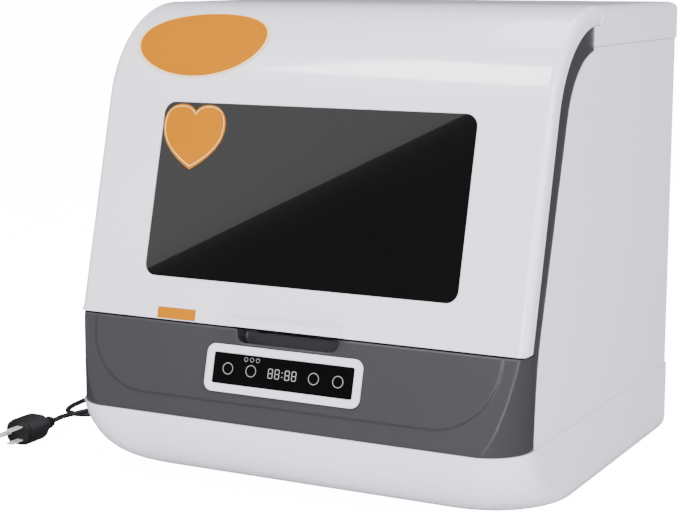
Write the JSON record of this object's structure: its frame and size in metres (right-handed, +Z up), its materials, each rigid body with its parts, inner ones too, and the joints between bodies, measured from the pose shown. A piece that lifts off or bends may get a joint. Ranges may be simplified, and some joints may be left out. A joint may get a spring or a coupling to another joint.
{
  "type": "countertop dishwasher",
  "caption": "Small free-standing dishwasher with a leaning front lid that swings up over a rounded crown, a dark window, a touch panel, a wire rack, a spray arm and a mains lead",
  "frame": {"origin": "on the floor under the middle of the body, hose spigots included and the mains lead left out", "axes": "+X to the right as seen from the front, the lid and the controls face -Y, +Z up"},
  "size_m": [0.5849, 0.5584, 0.424],
  "materials": {
    "white_shell": "satin",
    "white_inner": "matt",
    "grey_shell": "satin",
    "grey_inner": "matt",
    "window": "polished, dark tinted",
    "inner_pane": "clear smoked",
    "display": "polished",
    "rubber": "matt",
    "lead": "satin",
    "steel": "brushed",
    "coated_wire": "coated",
    "blades": "plated",
    "black_plastic": "matt",
    "labels": "printed film",
    "board": "lacquered",
    "tank": "translucent"
  },
  "bodies": {
    "body": {"base_tray": "white_shell", "side_panel_left": "white_shell", "side_panel_right": "white_shell", "rear_panel": "white_shell", "top_cover": "white_shell", "control_bezel": "white_shell", "inlet_valve": "white_inner", "front_frame": "grey_shell", "spray_post": "grey_inner", "spray_nut": "grey_inner", "float_guide": "grey_inner", "cutlery_basket": "grey_inner", "sump": "grey_inner", "wash_pipe": "grey_inner", "drain_spigot": "grey_inner", "display_panel": "display", "feet": "rubber", "tub_seal": "rubber", "cord_gland": "rubber", "cord_start": "lead", "cord_coil": "lead", "cord_run": "lead", "plug_body": "lead", "tub": "steel", "hinge_brackets": "steel", "hinge_screws": "steel", "filter_plate": "steel", "heater_ring": "steel", "rear_screws": "steel", "inlet_spigot": "steel", "rack_frame": "coated_wire", "rack_tines": "coated_wire", "plug_blades": "blades", "latch_catch": "black_plastic", "wash_pump": "black_plastic", "drain_pump": "black_plastic", "control_board": "board", "power_board": "board", "water_tank": "tank"},
    "lid": {"lid_shell": "white_shell", "lid_liner": "white_inner", "window_glass": "window", "inner_window": "inner_pane", "hinge_pins": "steel", "latch_tongue": "black_plastic", "lid_labels": "labels"},
    "spray": {"spray_arm": "grey_inner"},
    "float": {"float_dome": "white_inner"},
    "filter": {"filter_cup": "grey_inner"}
  },
  "joints": [
    {"name": "lid_hinge", "type": "hinge", "parent": "body", "child": "lid", "pos_m": [0, -0.0375, 0.41596], "axis": [-1, 0, 0], "range_deg": [0, 80]},
    {"name": "spray_spin", "type": "hinge", "parent": "body", "child": "spray", "pos_m": [0, -0.00464, 0.138], "axis": [0, 0, 1], "continuous": true},
    {"name": "float_lift", "type": "slide", "parent": "body", "child": "float", "axis": [0, 0, 1], "range_m": [0, 0.008]},
    {"name": "filter_turn", "type": "hinge", "parent": "body", "child": "filter", "pos_m": [0.034, -0.00464, 0.118], "axis": [0, 0, 1], "range_deg": [0, 45]}
  ]
}
